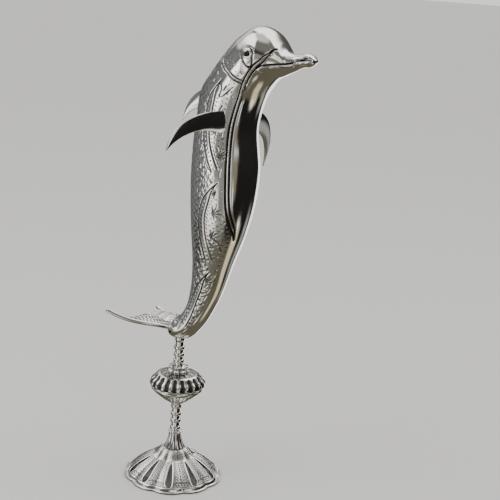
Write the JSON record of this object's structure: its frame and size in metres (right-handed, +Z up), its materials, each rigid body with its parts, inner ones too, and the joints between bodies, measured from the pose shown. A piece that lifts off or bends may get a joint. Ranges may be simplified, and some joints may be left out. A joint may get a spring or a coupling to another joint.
{
  "type": "dolphin figurine",
  "caption": "Leaping dolphin figurine of chased, polished silvery metal, standing on its tail on a beaded stem with a fluted knop and a pierced, scalloped dome foot.",
  "frame": {"origin": "middle of the footprint, on the plane the foot stands on", "axes": "+Z up along the stem, +X the way the dolphin's belly and beak face, -Y its right flank"},
  "size_m": [0.2124, 0.165, 0.5197],
  "materials": {
    "polished_metal": "silver plated, mirror polished, chased lines darkened",
    "chased_metal": "silver plated, chased all over, darkened in the lines"
  },
  "bodies": {
    "root": {"foot": "chased_metal", "lower_stem": "polished_metal", "knop": "polished_metal", "upper_stem": "polished_metal", "dolphin_body": "polished_metal", "flipper_right": "polished_metal", "flipper_left": "polished_metal", "dorsal_fin": "polished_metal", "tail_fluke": "chased_metal"}
  },
  "joints": []
}
